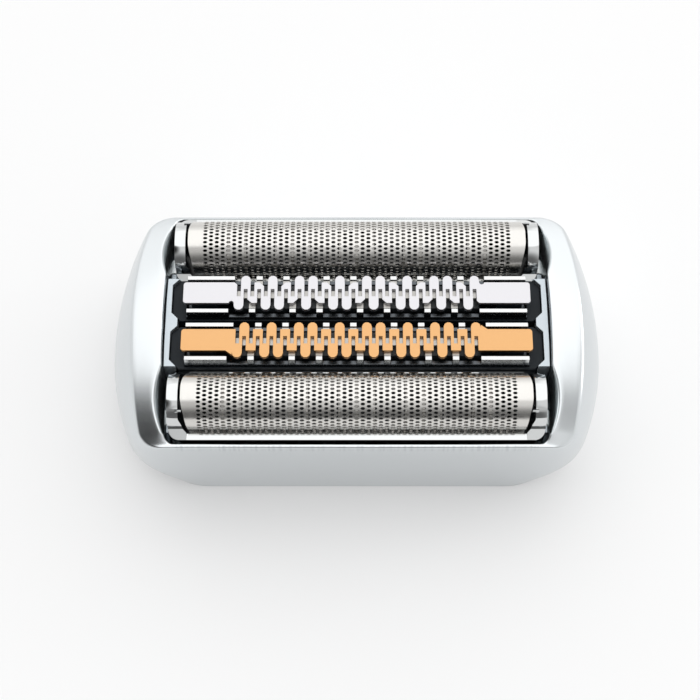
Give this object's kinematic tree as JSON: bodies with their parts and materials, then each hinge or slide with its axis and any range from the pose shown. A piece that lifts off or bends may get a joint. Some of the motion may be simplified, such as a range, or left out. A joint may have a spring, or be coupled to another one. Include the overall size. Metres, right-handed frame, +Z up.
{
  "type": "shaver foil head",
  "caption": "Shaving cassette: a satin frame with floating arched foils and flat gold and silver trimmers, open below for the shaver's neck and drive pins.",
  "frame": {"origin": "middle of the cassette's foot, on the plane of its lower edge", "axes": "+X along the foils, +Z up out of the foils, -Y towards the gold trimmer's side"},
  "size_m": [0.0582, 0.0298, 0.0183],
  "materials": {
    "frame_silver": "satin silver lacquer on moulded plastic",
    "tray_grey": "smooth moulded plastic, blue-grey",
    "foil_steel": "bright electroformed sheet",
    "cradle_chrome": "bright chrome plating on moulded plastic",
    "blade_steel": "ground steel",
    "carrier_plastic": "moulded plastic, dark grey",
    "spring_steel": "rolled spring strip",
    "holder_charcoal": "moulded plastic, charcoal",
    "guard_steel": "stamped and tumbled steel, satin",
    "comb_gold": "satin steel with a gold-coloured hard coating",
    "comb_silver": "satin steel"
  },
  "bodies": {
    "cassette": {"outer_frame": "frame_silver", "inner_tray": "tray_grey", "front_float_spring_left": "spring_steel", "front_float_spring_right": "spring_steel", "gold_float_spring_left": "spring_steel", "gold_float_spring_right": "spring_steel", "silver_float_spring_left": "spring_steel", "silver_float_spring_right": "spring_steel", "rear_float_spring_left": "spring_steel", "rear_float_spring_right": "spring_steel"},
    "front_foil_unit": {"front_foil_cradle": "cradle_chrome", "front_foil": "foil_steel"},
    "front_cutter": {"front_cutter_carrier": "carrier_plastic", "front_cutter_blades": "blade_steel", "front_cutter_springs": "spring_steel"},
    "gold_trimmer_unit": {"gold_trimmer_holder": "holder_charcoal", "gold_trimmer_guard": "guard_steel", "gold_trimmer_comb": "comb_gold"},
    "gold_trimmer_cutter": {"gold_trimmer_blade": "blade_steel", "gold_trimmer_slider": "carrier_plastic", "gold_trimmer_springs": "spring_steel"},
    "silver_trimmer_unit": {"silver_trimmer_holder": "holder_charcoal", "silver_trimmer_guard": "guard_steel", "silver_trimmer_comb": "comb_silver"},
    "silver_trimmer_cutter": {"silver_trimmer_blade": "blade_steel", "silver_trimmer_slider": "carrier_plastic", "silver_trimmer_springs": "spring_steel"},
    "rear_foil_unit": {"rear_foil_cradle": "cradle_chrome", "rear_foil": "foil_steel"},
    "rear_cutter": {"rear_cutter_carrier": "carrier_plastic", "rear_cutter_blades": "blade_steel", "rear_cutter_springs": "spring_steel"}
  },
  "joints": [
    {"name": "front_foil_float", "type": "slide", "parent": "cassette", "child": "front_foil_unit", "axis": [0, 0, 1], "range_m": [-0.002, 0], "stiffness_N_per_m": 300, "springref_m": 0.0015, "deforming": ["front_float_spring_left", "front_float_spring_right"]},
    {"name": "front_cutter_stroke", "type": "slide", "parent": "front_foil_unit", "child": "front_cutter", "axis": [1, 0, 0], "range_m": [-0.001, 0.001]},
    {"name": "gold_trimmer_float", "type": "slide", "parent": "cassette", "child": "gold_trimmer_unit", "axis": [0, 0, 1], "range_m": [-0.0015, 0], "stiffness_N_per_m": 300, "springref_m": 0.0015, "deforming": ["gold_float_spring_left", "gold_float_spring_right"]},
    {"name": "gold_trimmer_stroke", "type": "slide", "parent": "gold_trimmer_unit", "child": "gold_trimmer_cutter", "axis": [1, 0, 0], "range_m": [-0.00075, 0.00075]},
    {"name": "silver_trimmer_float", "type": "slide", "parent": "cassette", "child": "silver_trimmer_unit", "axis": [0, 0, 1], "range_m": [-0.0015, 0], "stiffness_N_per_m": 300, "springref_m": 0.0015, "deforming": ["silver_float_spring_left", "silver_float_spring_right"]},
    {"name": "silver_trimmer_stroke", "type": "slide", "parent": "silver_trimmer_unit", "child": "silver_trimmer_cutter", "axis": [1, 0, 0], "range_m": [-0.00075, 0.00075]},
    {"name": "rear_foil_float", "type": "slide", "parent": "cassette", "child": "rear_foil_unit", "axis": [0, 0, 1], "range_m": [-0.002, 0], "stiffness_N_per_m": 300, "springref_m": 0.0015, "deforming": ["rear_float_spring_left", "rear_float_spring_right"]},
    {"name": "rear_cutter_stroke", "type": "slide", "parent": "rear_foil_unit", "child": "rear_cutter", "axis": [1, 0, 0], "range_m": [-0.001, 0.001]}
  ]
}
